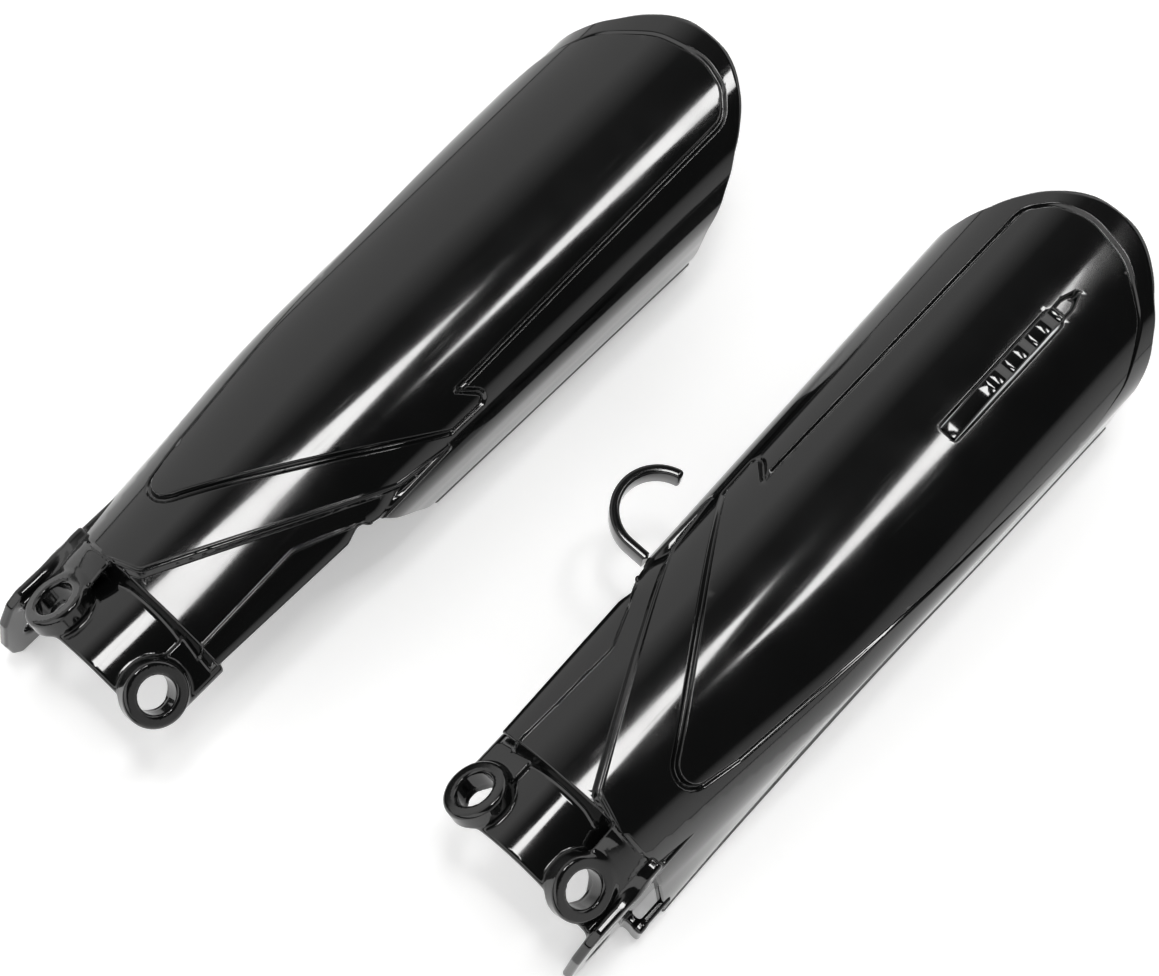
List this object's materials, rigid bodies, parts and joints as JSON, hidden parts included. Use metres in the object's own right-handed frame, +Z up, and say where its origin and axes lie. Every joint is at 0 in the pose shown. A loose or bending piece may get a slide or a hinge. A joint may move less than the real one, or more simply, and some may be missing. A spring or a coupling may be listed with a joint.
{
  "type": "motorcycle fork leg guard pair",
  "caption": "Left and right open-backed half-tube guards for motorcycle fork legs, one with a brake hose hook and a hose clip tongue.",
  "frame": {"origin": "centre of the pair's bounding box on the plane that both guards lie on", "axes": "+Z up out of the guards' fronts, +Y along the legs from the mounting ears to the round ends, +X from the plain guard to the hose guard"},
  "size_m": [0.2392, 0.3634, 0.07],
  "materials": {
    "gloss_plastic": "high-gloss black, as moulded"
  },
  "bodies": {
    "plain": {"plain_guard": "gloss_plastic"},
    "hose": {"hose_guard": "gloss_plastic"},
    "hook": {"brake_hose_hook": "gloss_plastic"},
    "tongue": {"hose_clip_tongue": "gloss_plastic"}
  },
  "joints": [
    {"name": "guard_spacing", "type": "slide", "parent": "plain", "child": "hose", "axis": [1, 0, 0], "range_m": [0, 0.073]},
    {"name": "hook_flex", "type": "hinge", "parent": "hose", "child": "hook", "pos_m": [0.03285, -0.0198, 0.0415], "axis": [0, 0, 1], "range_deg": [0, 6], "stiffness_Nm_per_rad": 0.6},
    {"name": "tongue_flex", "type": "hinge", "parent": "hose", "child": "tongue", "pos_m": [0.08285, 0.0761, 0.0628], "axis": [1, 0, 0], "range_deg": [0, 5], "stiffness_Nm_per_rad": 0.5}
  ]
}
